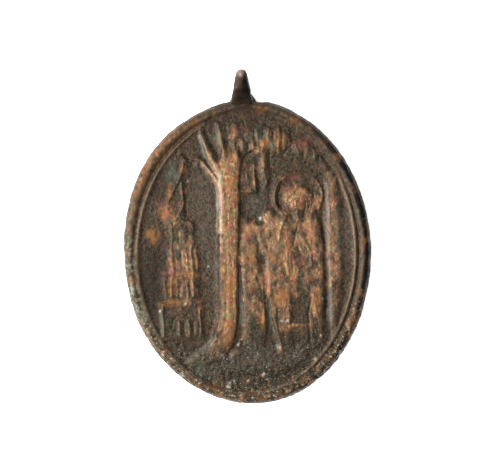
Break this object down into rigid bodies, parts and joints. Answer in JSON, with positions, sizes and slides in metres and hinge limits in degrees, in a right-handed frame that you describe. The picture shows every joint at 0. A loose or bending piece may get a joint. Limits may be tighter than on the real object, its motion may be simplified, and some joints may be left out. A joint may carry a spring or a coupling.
{
  "type": "religious medal pendant",
  "caption": "Oval cast devotional medal with a pierced loop, a border line and worn raised scene of a tree, church tower and haloed figure.",
  "frame": {"origin": "middle of the oval plate, on its flat back", "axes": "+Y towards the loop, +Z out of the pictured face, +X to the viewer's right when the picture is upright"},
  "size_m": [0.0292, 0.0397, 0.0038],
  "materials": {
    "medal": "dark brown oxidised copper alloy, worn redder on the raised forms"
  },
  "bodies": {
    "root": {"medal": "medal"}
  },
  "joints": []
}
